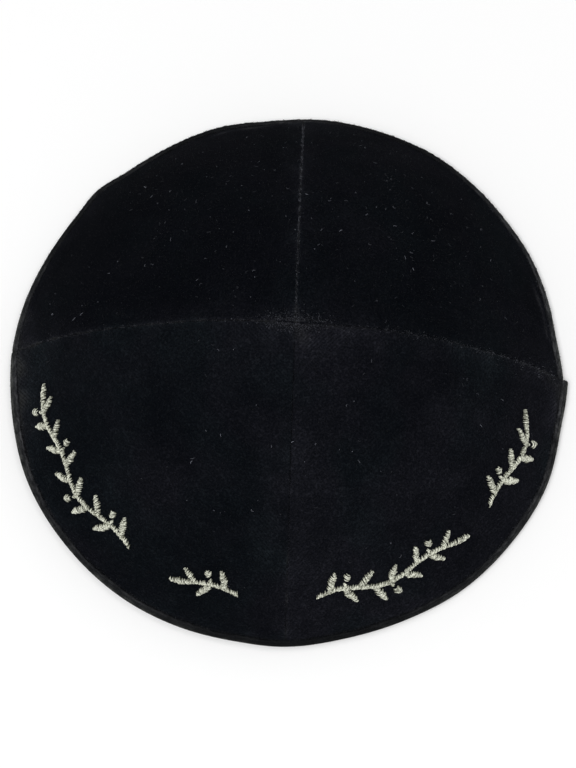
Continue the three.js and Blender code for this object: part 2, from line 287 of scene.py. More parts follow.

# How worn and brushed up the nap is along the rim, with the painted sheen of the binding's outer edge, which
# makes it
# lighter: azimuth, share
rimWearAndSheen = np.array([
    (0.7, 1.35), (15, 1.25), (30, 1.4), (45, 0.75), (60, 0.1), (75, 0.12), (90, 0.6), (110, 0.15), (135, 0.4),
    (150, 0.2), (166, 0.7), (182, 1.2), (212, 0.8), (226, 0.55), (240, 0.6), (256, 0.2), (272, 0.05),
    (286, 0.1), (300, 0.3), (312, 0.55), (330, 0.9), (345, 0.8), (360.7, 1.4),
])


# The cloth's own soft unevenness, which fades towards the crown and the rim.
def clothSway(plain, far, up):
    return cloth["sway"] * lumps(plain, 48, 11) * smooth(0, 18, far) * smooth(0, 14, up)


# How far the velvet stands off the plain dome, in millimetres along the normal: the sway, the rise over the
# seam allowances, the round shoulder -depth (1 - sqrt(1 - (1 - s / width)^2)) into each seam, the puckers and
# drag lines that fade away from it, the tuck under the binding, and the hollow that the embroidery pulls.
def velvetRelief(gore, azimuth, reach):
    plain = domePoint(gore, azimuth, reach)
    aside, far, up = goreDistances(gore, azimuth, reach)
    relief = clothSway(plain, far, up) + 0.1 * lumps(plain, 17, 12)
    for number, (s, along) in enumerate(aside):
        shoulder = 1 - np.clip(s / cloth["grooveWidth"], 0, 1)
        depth = cloth["grooveDepth"] * (0.3 + 0.7 * smooth(5, 14, far))
        if gore["seams"][number] == "front":
            depth = depth * (0.75 - 0.6 * smooth(0.5, 0.7, reach))
        relief = relief - depth * (1 - np.sqrt(np.maximum(1 - shoulder**2, 0)))
        wander = lumps(plain, 23, 20 + number)
        stitches = 0.5 + 0.5 * np.cos(2 * np.pi * along / cloth["stitch"] + 0.8 * wander)
        relief = relief - cloth["pucker"] * stitches * np.exp(-s / cloth["puckerReach"])
        drag = np.sin(2 * np.pi * (along + 0.7 * s) / cloth["dragPitch"] + 2.2 * wander)
        relief = relief + cloth["drag"] * drag * np.exp(-s / cloth["dragReach"]) * smooth(0, 6, far)
        pressed = 1 - smooth(0.8, 1.25, s / cloth["allowance"])
        relief = relief + cloth["allowanceRise"] * pressed * smooth(2, 10, far)
    above = up - tableCurve(lipWidth, azimuth)
    ridge = cloth["ridge"] * np.exp(-(((above - cloth["ridgeUp"]) / cloth["ridgeWidth"]) ** 2))
    relief = relief - cloth["tuck"] * (1 - smooth(0, 1.1, above)) + ridge
    return relief - cloth["hollow"] * nearEmbroidery(gore, azimuth, reach)


# The velvet's outer face: the dome's point plus its normal times the relief and any lift.
def velvetPoint(gore, azimuth, reach, lift=0.0):
    off = velvetRelief(gore, azimuth, reach) + lift
    return domePoint(gore, azimuth, reach) + domeNormal(gore, azimuth, reach) * off[..., None]


# Shader maths

class Wire:  # one output socket; sums on it add Math nodes
    def __init__(self, kit, socket):
        self.kit = kit
        self.socket = socket

    def __add__(self, other):
        return self.kit.math("ADD", self, other)

    def __sub__(self, other):
        return self.kit.math("SUBTRACT", self, other)

    def __rsub__(self, other):
        return self.kit.math("SUBTRACT", other, self)

    def __mul__(self, other):
        return self.kit.math("MULTIPLY", self, other)

    __radd__ = __add__
    __rmul__ = __mul__


class Kit:  # one material's nodes
    def __init__(self, name):
        self.material = bpy.data.materials.new(name)
        self.material.use_nodes = True
        self.tree = self.material.node_tree
        self.tree.nodes.clear()

    def add(self, kind, settings=None, inputs=None):
        node = self.tree.nodes.new(kind)
        for key, value in (settings or {}).items():
            setattr(node, key, value)
        for key, value in (inputs or {}).items():
            socket = node.inputs[key]
            if isinstance(value, Wire):
                self.tree.links.new(value.socket, socket)
            elif isinstance(value, tuple) and socket.type == "RGBA":
                socket.default_value = (*value, 1)
            else:
                socket.default_value = value
        return {output.identifier: Wire(self, output) for output in node.outputs}

    def place(self, turn=0.0):  # object coordinates, in metres, turned about Z by degrees
        here = self.add("ShaderNodeTexCoord")["Object"]
        inputs = {"Vector": here, "Rotation": (0, 0, np.radians(turn))}
        return self.add("ShaderNodeMapping", None, inputs)["Vector"]

    def noise(self, size, detail=2.0, where=None):  # size is the grain's width in millimetres
        grain = {"Vector": where or self.place(), "Scale": 1 / (size * mm), "Detail": detail}
        return self.add("ShaderNodeTexNoise", None, grain)["Fac"]

    def strip(self, stretch):  # the place on a strip, from the mesh's "run" and "across" in millimetres
        parts = {"X": self.own("run") * (mm / stretch), "Y": self.own("across") * mm, "Z": 0.0}
        return self.add("ShaderNodeCombineXYZ", None, parts)["Vector"]

    def threadLines(self, way, perMetre):  # waves that follow one another along "X" or "Y"
        inputs = {"Vector": self.place(), "Scale": perMetre, "Distortion": 1.0}
        return self.add("ShaderNodeTexWave", {"bands_direction": way}, inputs)["Fac"]

    def ridges(self, turn, pitch, sway):  # 0 to 1 and back every pitch millimetres along the direction turn
        across = self.add("ShaderNodeSeparateXYZ", None, {"Vector": self.place(turn=-turn)})["X"]
        phase = across * (2 * np.pi / (pitch * mm)) + self.noise(5, 1.0) * sway
        return self.math("SINE", phase, 0.0) * 0.5 + 0.5

    def math(self, operation, first, second):
        return self.add("ShaderNodeMath", {"operation": operation}, {0: first, 1: second})["Value"]

    def blend(self, factor, low, high):
        return self.add("ShaderNodeMix", {"data_type": "RGBA"}, {0: factor, 6: low, 7: high})["Result_Color"]

    def band(self, value, low, high):  # 0 under low, 1 over high, clamped
        limits = {"Value": value, "From Min": low, "From Max": high}
        return self.add("ShaderNodeMapRange", {"clamp": True}, limits)["Result"]

    def own(self, name):  # a number that the mesh carries at each point
        return self.add("ShaderNodeAttribute", {"attribute_name": name})["Fac"]

    def bump(self, height, strength, distance):
        inputs = {"Height": height, "Strength": strength, "Distance": distance * mm}
        return self.add("ShaderNodeBump", None, inputs)["Normal"]

    def finish(self, **sockets):
        inputs = {key.replace("_", " "): value for key, value in sockets.items()}
        surface = self.add("ShaderNodeBsdfPrincipled", None, inputs)
        self.add("ShaderNodeOutputMaterial", None, {"Surface": surface["BSDF"]})
        return self.material


# Colours are linear. The rows of pile lie across a gore's middle line.
velvetLook = {
    "deep": (0.0012, 0.0016, 0.0026),
    "napBlue": (0.0194, 0.0251, 0.0303),
    "napPlum": (0.0226, 0.0232, 0.0303),
    "napWornAndLit": (0.0248, 0.0256, 0.0266),
    "rowPitch": 0.86,
    "rowSway": 2.5,
}


# Short-pile velvet: a fine grain of pile ends, faint rows of pile across the gore, broad brushed patches, the
# gore's tone, which paints the front gores lighter and the back ones darker, and the lighter nap, with
# painted sheen and shade, that the mesh carries along its seams, crown and rim.
def velvetMaterial(name, gore):
    kit = Kit(name.replace("_", " ") + " velvet")
    grain = kit.band(kit.noise(0.55, 2.0), 0.34, 0.66)
    speckle = kit.band(kit.noise(1.1, 3.0), 0.52, 0.7)
    patches = kit.band(kit.noise(30, 3.0), 0.36, 0.66)
    smudges = kit.band(kit.noise(7, 4.0), 0.4, 0.75)
    rows = kit.ridges(0.5 * sum(goreSpan(gore)), velvetLook["rowPitch"], velvetLook["rowSway"])
    napAndLight = kit.own("napAndLight")
    rows = rows * kit.band(kit.noise(9, 3.0), 0.46, 0.62) * (napAndLight * 1.4 + 0.25)
    # Painted light and shade: the gore's tone makes the front gores lighter and the back ones darker.
    brushedAndLit = gore["tone"] * (0.55 + patches * 0.6 + smudges * 0.35) + napAndLight * 0.6
    light = brushedAndLit * (grain * gore["grain"] + speckle * 0.65 + rows * 0.9 + 0.36)
    height = grain * 0.6 + kit.noise(0.9, 2.0) * 0.5 + rows * 0.1
    plum = kit.noise(24, 2.0) - gore["blue"]
    napColour = kit.blend(kit.band(plum, 0.4, 0.6), velvetLook["napBlue"], velvetLook["napPlum"])
    napColour = kit.blend(kit.band(napAndLight, 0.25, 0.8), napColour, velvetLook["napWornAndLit"])
    return kit.finish(
        Base_Color=kit.blend(light, velvetLook["deep"], napColour),
        Roughness=0.95,
        Specular_IOR_Level=0.006,
        Sheen_Weight=0.003,
        Sheen_Roughness=0.4,
        Normal=kit.bump(height, 0.8, 0.5),
    )


# Fibres standing out of the cloth, each as light as the mesh's "light" says, and lighter at its tip.
def fibreMaterial():
    kit = Kit("pile fibres")
    light = kit.own("light") * (kit.own("along") * 0.45 + 0.55)
    return kit.finish(
        Base_Color=kit.blend(light, (0.003, 0.0035, 0.0048), (0.34, 0.355, 0.42)),
        Roughness=0.7,
        Specular_IOR_Level=0.12,
    )


# The velvet's woven back, seen inside the cap: fine warp and weft threads.
def backingMaterial():
    kit = Kit("velvet backing")
    cross = kit.threadLines("X", 520.0) * 0.5 + kit.threadLines("Y", 480.0) * 0.5
    colour = kit.blend(cross * 0.6 + kit.noise(9, 3.0) * 0.4, (0.006, 0.0065, 0.0075), (0.021, 0.0225, 0.025))
    return kit.finish(
        Base_Color=colour,
        Roughness=0.85,
        Specular_IOR_Level=0.25,
        Normal=kit.bump(cross, 0.5, 0.12),
    )


# Mesh making

# A new object, linked into the scene.
def newObject(name, data):
    thing = bpy.data.objects.new(name, data)
    bpy.context.scene.collection.objects.link(thing)
    return thing


# One object from points in millimetres, faces as lists of point numbers, and the numbers that points carry.
def makePiece(name, points, faces, materials, numbers=None, facesOfSecond=None):
    mesh = bpy.data.meshes.new(name)
    mesh.from_pydata((np.asarray(points) * mm).tolist(), [], faces)
    for key, values in (numbers or {}).items():
        layer = mesh.attributes.new(key, "FLOAT", "POINT")
        layer.data.foreach_set("value", np.asarray(values, np.float32).ravel())
    for material in materials:
        mesh.materials.append(material)
    if facesOfSecond is not None:
        mesh.polygons.foreach_set("material_index", np.asarray(facesOfSecond, np.int32))
    mesh.polygons.foreach_set("use_smooth", np.ones(len(mesh.polygons), bool))
    mesh.update()
    piece = newObject(name, mesh)
    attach(piece, "root")
    return piece


# Quads between the rows of a grid of point numbers.
def gridFaces(number, flip=False):
    a, b, c, d = number[:-1, :-1], number[1:, :-1], number[1:, 1:], number[:-1, 1:]
    order = (a, d, c, b) if flip else (a, b, c, d)
    return np.stack([part.ravel() for part in order], axis=-1)


# Stations from 0 to 1 whose spacing, in millimetres over the length, grows from fine to coarse away from 0,
# and is fine again over the last "fineAtEnd".
def stations(length, fine, coarse, growth, fineAtEnd):
    steps = [0.0]
    step = fine
    while steps[-1] < length - fineAtEnd:
        steps.append(steps[-1] + step)
        step = min(step * growth, coarse)
    steps.extend(np.arange(steps[-1] + 0.35, length - 0.1, 0.35))
    steps = np.array(steps + [max(length, steps[-1] + 0.2)])
    return steps / steps[-1]


goreGrid = {"length": 108, "fine": 0.14, "coarse": 0.72, "growth": 1.16, "fineAtEnd": 4.5, "innerStride": 3}


# A gore as a shell. The square (p, q) is bent onto a quarter disc by x = p sqrt(1 - q^2 / 2) and
# y = q sqrt(1 - p^2 / 2), so that its mesh is even from crown to rim and fine beside both seams. The inner
# face keeps every third line.
def velvetGore(name, gore, materials):
    g = goreGrid
    line = stations(g["length"], g["fine"], g["coarse"], g["growth"], g["fineAtEnd"])
    extra = (1 - len(line)) % g["innerStride"]
    half = len(line) // 2
    line = np.insert(line, half, np.linspace(line[half - 1], line[half], extra + 2)[1:-1])
    p, q = np.meshgrid(line, line, indexing="ij")
    x, y = p * np.sqrt(1 - q**2 / 2), q * np.sqrt(1 - p**2 / 2)
    reach = np.minimum(np.hypot(x, y), 1)
    turn = np.degrees(np.arctan2(y, x)) / 90
    turn[0, 0] = 0.5
    start, end = goreSpan(gore)
    azimuth = start + (end - start) * turn
    outer = velvetPoint(gore, azimuth, reach)

    stride = slice(None, None, g["innerStride"])
    far, up = goreDistances(gore, azimuth, reach)[1:]
    wall = cap["wallAtRim"] + (cap["wall"] - cap["wallAtRim"]) * smooth(2.2, 5, up)
    normal = domeNormal(gore, azimuth, reach)
    inward = -normal * wall[..., None]
    for seam, border in ((start, inward[:, 0]), (end, inward[0, :])):
        edge = seamEdge(gore, seam)
        side = unit(np.array([-edge[1], edge[0], 0]))
        border -= (border @ side)[:, None] * side
    inward[0, 0] = (0, 0, -cap["wall"])
    plain = domePoint(gore, azimuth, reach)
    plain = plain + normal * clothSway(plain, far, up)[..., None]
    inner = (plain + inward)[stride, stride]

    outerNumber = np.arange(reach.size).reshape(reach.shape)
    innerNumber = reach.size + np.arange(inner[..., 0].size).reshape(inner.shape[:2])
    outerFaces = gridFaces(outerNumber)
    innerFaces = gridFaces(innerNumber, flip=True)
    faces = outerFaces.tolist() + innerFaces.tolist()
    back = [0] * len(outerFaces) + [1] * len(innerFaces)
    edges = [
        (outerNumber[:, 0], innerNumber[:, 0], False),
        (outerNumber[0, :], innerNumber[0, :], True),
        (outerNumber[-1, :], innerNumber[-1, :], False),
        (outerNumber[:, -1], innerNumber[:, -1], True),
    ]
    for fine, coarse, flip in edges:
        for i in range(len(coarse) - 1):
            run = fine[i * g["innerStride"] : (i + 1) * g["innerStride"] + 1].tolist()
            face = run[::-1] + [int(coarse[i]), int(coarse[i + 1])]
            faces.append(face[::-1] if flip else face)
            back.append(0)

    inside = np.zeros(innerNumber.size)
    numbers = {"napAndLight": np.concatenate([velvetNapAndLight(gore, azimuth, reach).ravel(), inside])}
    points = np.concatenate([outer.reshape(-1, 3), inner.reshape(-1, 3)])
    piece = makePiece("velvet_" + name, points, faces, materials, numbers, back)
    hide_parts(name + "_panel")


# How light the nap lies beside each seam: a painted sheen line right at it, and a wider band of lighter nap
# along it.
seamNap = underHeadings("line band width towardsRim", {
    "right": (0.2, 0.06, 6, 0.5),
    "back": (0.5, 0.1, 5, 0),
    "left": (0.5, 0.07, 6, 0.5),
    "front": (0.06, 0.12, 10, 6),
    "rightAgain": (0.3, 0.17, 5, 0.5),
})
# The light nap round the crown: how light, and over what distance it fades
crownNap = [(0.14, 7), (0.08, 22)]
# Where handling has brushed the velvet up above the rim. The whole front and whole back rows are painted
# light that lifts the shade under the binding's tuck.
brushedSides = underHeadings("azimuth spread reach light", {
    "left seam": (184, 14, 8, 1),
    "left of the front": (197, 9, 4, 0.6),
    "behind the right seam": (2, 9, 7, 0.6),
    "before the right seam": (359, 8, 7, 0.8),
    "whole front": (270, 95, 2, 0.32),
    "back seam": (90, 10, 5, 0.3),
    "whole back": (90, 95, 5, 0.22),
})
# Faint creases that catch the light near the rim: azimuths and heights over the fold of both ends.
creases = underHeadings("from to low high width light", {
    "left of the back seam": (91, 113, 1.2, 5.5, 0.9, 0.6),
    "behind the right seam": (8, 25, 3.2, 4.8, 1.1, 0.7),
})


# The lighter nap at each point, partly painted light and shade: along the seams, with a painted sheen line
# right at each; round the crown, with painted shade in the side seams' groove there; above the rim where it
# is worn, with painted light that lifts the shade under the binding's tuck; and painted highlights on faint
# creases.
def velvetNapAndLight(gore, azimuth, reach):
    plain = domePoint(gore, azimuth, reach)
    aside, far, up = goreDistances(gore, azimuth, reach)
    napAndLight = np.zeros(far.shape)
    for (s, _), seam in zip(aside, gore["seams"]):
        look = seamNap[seam]
        band = look["band"] * (1 + 0.5 * lumps(plain, 40, 33))
        uneven = 1 + 0.6 * lumps(plain, 4, 34)
        # The line right at the seam is painted sheen on the seam's shoulders.
        line = look["line"] * (1 + look["towardsRim"] * smooth(0.6, 0.85, reach)) * uneven
        napAndLight += np.maximum(line, 0) * np.exp(-s / 0.45)
        napAndLight += np.maximum(band, 0) * np.exp(-((s / look["width"]) ** 2))
    napAndLight += sum(light * np.exp(-((far / fade) ** 2)) for light, fade in crownNap)
    # Painted shade in the groove of the side seams near the crown: the nap there is darkened.
    for (s, _), seam in zip(aside, gore["seams"]):
        if seam in ("right", "left", "rightAgain"):
            grooveShade = np.clip(0.55 + 0.5 * lumps(plain, 3, 35), 0, 0.9)
            napAndLight *= 1 - grooveShade * np.exp(-((s / 0.35) ** 2)) * (1 - smooth(5, 9, far))
    above = np.maximum(up - tableCurve(lipWidth, azimuth), 0)
    for side in brushedSides.values():
        away = (azimuth - side["azimuth"]) / side["spread"]
        napAndLight += side["light"] * np.exp(-(away**2) - above / side["reach"])
    for crease in creases.values():
        t = (azimuth - crease["from"]) / (crease["to"] - crease["from"])
        level = crease["low"] + (crease["high"] - crease["low"]) * t
        fade = smooth(0, 0.3, t) * (1 - smooth(0.7, 1, t))
        napAndLight += crease["light"] * fade * np.exp(-(((above - level) / crease["width"]) ** 2))
    return np.clip(napAndLight * (0.8 + 0.25 * lumps(plain, 9, 31)), 0, 1)


# Round threads along many paths at once. Each path is a row of points, and its tube has a ring of points at
# each, at radius (cos t side + sin t other), thinner towards both ends, with flat ends.
def threads(paths, normals, radius, sides, taper=0.55):
    count, steps = paths.shape[:2]
    along = unit(np.gradient(paths, axis=1))
    side = unit(np.cross(along, normals))
    other = np.cross(side, along)
    t = np.linspace(0, 2 * np.pi, sides, endpoint=False)
    ends = np.abs(np.linspace(-1, 1, steps))
    width = np.broadcast_to(radius, (count,))[:, None] * (1 - taper * ends**6)
    ring = side[:, :, None] * np.cos(t)[:, None] + other[:, :, None] * np.sin(t)[:, None]
    points = paths[:, :, None] + ring * width[..., None, None]
    number = np.arange(count * steps * sides).reshape(count, steps, sides)
    around = np.roll(number, -1, axis=2)
    quads = np.stack([number[:, :-1], around[:, :-1], around[:, 1:], number[:, 1:]], axis=-1).reshape(-1, 4)
    caps = np.concatenate([number[:, 0, ::-1], number[:, -1]])
    return points.reshape(-1, 3), quads.tolist() + caps.tolist()


# Fine tapered fibres, all at once: rings of three points at the root and the middle, and a tip. Each starts
# along "way" and turns towards way + bend, and its root is closed.
def fibres(roots, way, bend, length, radius, light):
    count = len(roots)
    size = np.broadcast_to(length, (count,))[:, None]
    middle = roots + way * size * 0.5
    tip = middle + unit(way + bend) * size * 0.5
    side = unit(np.cross(way, (0.31, 0.52, 0.79)))
    other = np.cross(way, side)
    t = 2 * np.pi * np.arange(3) / 3
    ring = side[:, None] * np.cos(t)[:, None] + other[:, None] * np.sin(t)[:, None]
    ring = ring * np.broadcast_to(radius, (count,))[:, None, None]
    points = np.concatenate([roots[:, None] + ring, middle[:, None] + ring * 0.8, tip[:, None]], axis=1)
    first = 7 * np.arange(count)[:, None]
    sides = np.array([(0, 1, 4, 3), (1, 2, 5, 4), (2, 0, 3, 5)])
    ends = np.array([(3, 4, 6), (4, 5, 6), (5, 3, 6), (2, 1, 0)])
    faces = (first[:, None] + sides).reshape(-1, 4).tolist() + (first[:, None] + ends).reshape(-1, 3).tolist()
    along = np.tile([0, 0, 0, 0.5, 0.5, 0.5, 1], count)
    return points.reshape(-1, 3), faces, {"light": np.repeat(light, 7), "along": along}


# Pile on one gore at given places. It stands on the cloth and leans out to all sides and along "push", and
# its length is in millimetres.
def pileAt(gore, azimuth, reach, rng, length, light, lean=0.5, push=None):
    count = len(azimuth)
    normal = domeNormal(gore, azimuth, reach)
    roots = velvetPoint(gore, azimuth, reach, np.full(count, -0.06))
    way = normal + rng.normal(0, lean, (count, 3))
    if push is not None:
        way = way + push
    bend = rng.normal(0, 0.5, (count, 3))
    return fibres(roots, unit(way), bend, length * rng.uniform(0.6, 1.2, count), pile["radius"], light)


pile = {
    "radius": 0.06,
    "length": 0.85,
    "loose": 6000,          # loose ends scattered over a gore
    "looseLight": 0.055,
    "seamGap": 0.085,       # millimetres of seam for each fibre on one side of it
    "clumpPitch": 3.4,
    "crownFibres": 330,     # on a gore, round the crown
    "crownLight": 0.5,
    "lensLength": 4.6,      # the lens of upright pile at the crown
    "lensGap": 0.42,
    "lensWidth": 0.9,
    "rimGap": 0.09,
    "rimSpread": 0.5,
}
# How light the fibres are at each seam, and how many there are for one on the back seam
seamPile = underHeadings("light share spread towardsRim", {
    "right": (0.4, 0.75, 0.25, 1.3),
    "back": (0.55, 0.7, 0.1, 0),
    "left": (0.3, 0.5, 0.12, 0),
    "front": (0.1, 0.4, 0.2, 0.3),
    "rightAgain": (0.38, 0.85, 0.4, 1.3),
})


# How light a fibre is: mostly dim, and now and then bright, as level r^3 with r from 0 to 1.
def fibreLight(rng, count, level):
    return level * (0.1 + 0.9 * rng.uniform(0, 1, count) ** 3)


# Loose ends all over the gore, evenly spread in plan.
def loosePile(gore, rng):
    count = pile["loose"]
    start, end = goreSpan(gore)
    azimuth = rng.uniform(start + 0.6, end - 0.6, count)
    reach = np.sqrt(rng.uniform(0.002, 0.93, count))
    return pileAt(gore, azimuth, reach, rng, pile["length"], fibreLight(rng, count, pile["looseLight"]), 0.8)


# The pile splays out of each seam, in clumps, on both of its sides.
def seamPileOf(gore, seam, inside, rng):
    look = seamPile[seam]
    length = cloth["planLength"]
    count = int(length / pile["seamGap"] * look["share"])
    reach = rng.uniform(0.03, 0.955, count)
    turn = reach * length * 2 * np.pi / pile["clumpPitch"] + 3 * np.sin(reach * 21 + seamAt[seam])
    clump = 0.5 + 0.5 * np.sin(turn)
    keep = rng.uniform(0, 1, count) < 0.35 + 0.65 * clump
    reach, clump = reach[keep], clump[keep]
    count = len(reach)
    rimward = smooth(0.6, 0.95, reach)
    aside = 0.05 + rng.exponential(look["spread"], count) * (1 + 1.6 * look["towardsRim"] * rimward)
    azimuth = seamAt[seam] + inside * np.degrees(aside / (reach * length))
    light = fibreLight(rng, count, look["light"]) * (0.6 + 0.8 * clump)
    light = light * (1 + look["towardsRim"] * (reach - 0.5))
    return pileAt(gore, azimuth, reach, rng, pile["length"] * (0.7 + 0.35 * rimward), light, 0.4)


# Round the crown the pile stands up in a lens along the side seams, whose own line stays dark.
def crownPile(gore, rng):
    count = pile["crownFibres"]
    start, end = goreSpan(gore)
    x = rng.normal(0, pile["lensLength"], count)
    y = pile["lensGap"] + rng.exponential(pile["lensWidth"], count)
    turn = np.degrees(np.arctan2(y, np.abs(x)))
    fromSide = np.where(turn < 90, turn, 90)
    first = gore["seams"][0] in ("right", "left")
    azimuth = start + fromSide if first else end - fromSide
    reach = np.clip(np.hypot(x, y) / cloth["planLength"], 0.004, 0.3)
    light = fibreLight(rng, count, pile["crownLight"])
    return pileAt(gore, np.clip(azimuth, start + 0.4, end - 0.4), reach, rng, 0.8, light, 0.6)


# Just above the binding the pile is crushed against it and covers the fold's edge.
def rimPile(gore, rng):
    start, end = goreSpan(gore)
    count = int(np.radians(end - start) * cloth["planLength"] / pile["rimGap"])
    azimuth = rng.uniform(start, end, count)
    up = tableCurve(lipWidth, azimuth) + rng.exponential(pile["rimSpread"], count)
    reach = 1 - up / cloth["slopeLength"]
    # The fibres are lighter where the rim is worn and where its painted sheen lies.
    light = fibreLight(rng, count, 0.07 + 0.2 * np.clip(tableCurve(rimWearAndSheen, azimuth), 0, 1))
    down = domePoint(gore, azimuth, reach + 0.01) - domePoint(gore, azimuth, reach)
    return pileAt(gore, azimuth, reach, rng, 0.75, light, 0.45, unit(down) * 0.9)


# Lint that the velvet has caught: short bent hairs and specks lying on the pile.
lint = {
    "clusters": 22,
    "spread": 7,            # millimetres from a cluster's middle
    "speckLength": (0.2, 0.45),
    "hairLength": (0.6, 1.9),
    "hairShare": 0.58,
    "radius": 0.082,
    "gathered": 0.67,       # the share that lies in clusters
    "clusterSlope": 95,     # millimetres for one whole reach, in a cluster
    "slope": 100,           # and along one hair
}


# Each bit of lint lies along the cloth as an arc: it sets out at an angle and turns steadily. Two in three
# lie in clusters, at normally spread distances from the clusters' middles.
def lintOn(gore, rng):
    count, steps = gore["lint"], 6
    start, end = goreSpan(gore)
    azimuth = rng.uniform(start + 2, end - 2, count)
    reach = np.sqrt(rng.uniform(0.03, 0.85, count))
    gathered = rng.uniform(0, 1, count) < lint["gathered"]
    middle = rng.integers(0, lint["clusters"], count)
    near = lint["spread"] * rng.normal(0, 1, (2, count))
    reach = np.where(gathered, np.clip(reach[middle] + near[0] / lint["clusterSlope"], 0.15, 0.93), reach)
    across = np.degrees(near[1] / (reach * cloth["planLength"]))
    azimuth = np.where(gathered, azimuth[middle] + across, azimuth)
    azimuth = np.clip(azimuth, start + 1.5, end - 1.5)
    isHair = rng.uniform(0, 1, count) < lint["hairShare"]
    hairs = rng.uniform(*lint["hairLength"], count)
    length = np.where(isHair, hairs, rng.uniform(*lint["speckLength"], count))
    t = np.linspace(-0.5, 0.5, steps)
    turn = rng.uniform(0, 2 * np.pi, count)[:, None] + t * rng.normal(0, 2.6, count)[:, None]
    x, y = (np.cumsum(part, axis=1) * length[:, None] / steps for part in (np.cos(turn), np.sin(turn)))
    here = azimuth[:, None] + np.degrees(x / (reach[:, None] * cloth["planLength"]))
    up = reach[:, None] + y / lint["slope"]
    paths = velvetPoint(gore, here, up, 0.3 + 0.1 * np.abs(t) + np.zeros((count, 1)))
    radius = lint["radius"] * rng.uniform(0.5, 1.1, count) * np.where(isHair, 0.75, 1.2)
    points, faces = threads(paths, domeNormal(gore, here, up), radius, 4)
    light = np.repeat(0.08 + 0.65 * rng.uniform(0, 1, count) ** 2.8, steps * 4)
    return points, faces, {"light": light, "along": np.ones(len(light))}


# All the fibres on one gore, as one piece.
def gorePile(name, gore, material, seed):
    rng = np.random.default_rng(seed)
    first, second = gore["seams"]
    parts = [loosePile(gore, rng), seamPileOf(gore, first, 1, rng), seamPileOf(gore, second, -1, rng)]
    parts = parts + [crownPile(gore, rng), rimPile(gore, rng)]
    parts.append(lintOn(gore, np.random.default_rng(seed + 50)))
    points, faces, numbers = joined(parts)
    makePiece("pile_" + name, points, faces, [material], numbers)


# Embroidery

satin = {
    "pitch": 0.45,          # from one stitch to the next
    "thread": 0.2,          # the thread's radius
    "rise": 0.85,           # how high a stitch stands over the cloth, in its middle
    "dive": 0.35,           # how deep its ends go into the pile
    "slant": 0.34,
    "jitter": 0.34,         # how unevenly the stitches end
    "stray": 0.16,          # how unevenly they lean
    "loose": 0.12,          # how unevenly high they stand
    "steps": 9,
    "sides": 6,
}


# From a branch's own plane onto the velvet, with the dome's normals there.
def onVelvet(branch, u, v, lift):
    plan, gore = branch["plan"], gores[branch["gore"]]
    azimuth = branch["base"] + plan["way"] * np.degrees(u / plan["radius"])
    reach = stem["reach"] - v / plan["uphill"]
    return velvetPoint(gore, azimuth, reach, lift), domeNormal(gore, azimuth, reach)


# Satin stitch over a shape with a middle line (u, v, angle) and half widths: threads cross it side by side,
# slanting, and each is an arch of height rise (1 - |x|^2.4) from edge to edge.
def satinStitches(branch, u, v, angle, half, rng, slant, rise):
    count = len(u)
    left, right = (half + rng.uniform(-0.7, 1, count) * satin["jitter"] for side in range(2))
    x = np.linspace(-1, 1, satin["steps"])
    across = np.where(x < 0, left[:, None] * x, right[:, None] * x)
    ahead = across * (slant + rng.normal(0, satin["stray"], count))[:, None]
    height = rise * (0.55 + 0.45 * half / half.max()) + rng.uniform(-1, 1, count) * satin["loose"]
    lift = height[:, None] * (1 - np.abs(x) ** 2.4) - satin["dive"] * np.abs(x) ** 5
    cos, sin = np.cos(angle)[:, None], np.sin(angle)[:, None]
    u, v = u[:, None] + ahead * cos - across * sin, v[:, None] + ahead * sin + across * cos
    paths, normals = onVelvet(branch, u, v, lift)
    points, faces = threads(paths, normals, satin["thread"] * rng.uniform(0.82, 1.12, count), satin["sides"])
    shade = np.repeat(rng.uniform(0, 1, count), satin["steps"] * satin["sides"])
    along = np.tile(np.repeat(np.linspace(0, 1, satin["steps"]), satin["sides"]), count)
    return points, faces, {"shade": shade, "along": along}


# Unevenly stepped places along a length, one for each stitch.
def stationsAlong(length, rng):
    count = max(int(length / satin["pitch"]), 3)
    return (np.arange(count) + 0.5 + rng.uniform(-0.22, 0.22, count)) / count * length


# Places on a stroke at distances from its foot, and its angle at each.
def alongStroke(stroke, ahead):
    angle = np.full(len(ahead), stroke["angle"])
    return stroke["u"] + ahead * np.cos(angle), stroke["v"] + ahead * np.sin(angle), angle


# A leaf's half width at the share t of its length, as in the solids: w / 2 sin(pi t^0.9)^0.6.
def leafStitches(branch, stroke, rng):
    length = leaf["length"] * stroke["scale"]
    ahead = stationsAlong(length, rng)
    t = ahead / length
    half = leaf["width"] * stroke["scale"] / 2 * np.maximum(np.sin(np.pi * t**0.9), 0) ** 0.6
    u, v, angle = alongStroke(stroke, ahead)
    return satinStitches(branch, u, v, angle, np.maximum(half, 0.35), rng, satin["slant"], satin["rise"])


# A berry is a disc of stitches at the end of a short stalk of three.
def berryStitches(branch, stroke, rng):
    ahead = stationsAlong(2 * berry["radius"], rng) - berry["radius"]
    half = np.sqrt(np.maximum(berry["radius"] ** 2 - ahead**2, 0.16))
    u, v, angle = alongStroke(stroke, berry["stalk"] + ahead)
    disc = satinStitches(branch, u, v, angle, half, rng, 0.1, satin["rise"] * 1.15)
    u, v, angle = alongStroke(stroke, np.array([0.9, 1.3, 1.7]))
    stalk = satinStitches(branch, u, v, angle, np.full(3, 0.42), rng, 0.6, satin["rise"] * 0.7)
    return [disc, stalk]


# The stem is one band of stitches along its own middle line.
def stemStitches(branch, rng):
    u = stationsAlong(branch["plan"]["length"], rng)
    v, lean = stemMiddle(u)
    half = np.full(len(u), stem["halfWidth"])
    return satinStitches(branch, u, v, lean, half, rng, 0.75, satin["rise"] * 0.85)


# Several parts as one: points, faces renumbered, and the numbers that each point carries.
def joined(parts):
    points, faces, numbers, start = [], [], {}, 0
    for partPoints, partFaces, partNumbers in parts:
        points.append(partPoints)
        faces.extend([[i + start for i in face] for face in partFaces])
        for key, values in partNumbers.items():
            numbers.setdefault(key, []).append(values)
        start += len(partPoints)
    return np.concatenate(points), faces, {key: np.concatenate(values) for key, values in numbers.items()}
